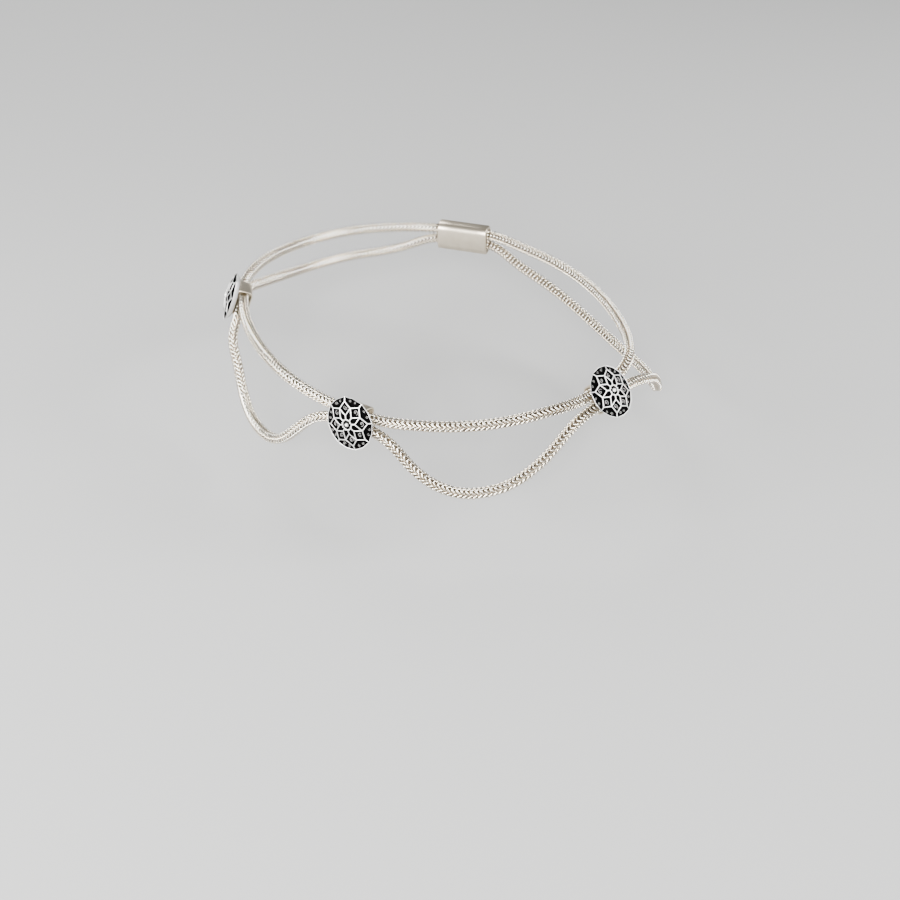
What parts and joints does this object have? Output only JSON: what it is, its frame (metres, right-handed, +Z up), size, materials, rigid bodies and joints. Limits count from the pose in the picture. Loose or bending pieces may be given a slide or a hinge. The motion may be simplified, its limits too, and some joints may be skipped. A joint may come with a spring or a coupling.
{
  "type": "anklet",
  "caption": "Anklet of two woven silver strands, one close and one in swags, run through rosette sliders and joined by a plain clasp.",
  "frame": {"origin": "centre of the upper strand's loop, inside the ankle", "axes": "+Z up the leg, -Y towards the toes, +Y towards the heel; the loop is longest along Y and the anklet thinnest along Z"},
  "size_m": [0.0833, 0.0927, 0.0226],
  "materials": {
    "woven_silver": "bright woven silver wire with darker gaps",
    "blackened_silver": "polished raised wires over blackened cells",
    "plain_silver": "plain polished silver"
  },
  "bodies": {
    "root": {"upper_strand": "woven_silver", "lower_strand": "woven_silver", "left_slider": "blackened_silver", "centre_slider": "blackened_silver", "right_slider": "blackened_silver", "clasp": "plain_silver"}
  },
  "joints": []
}
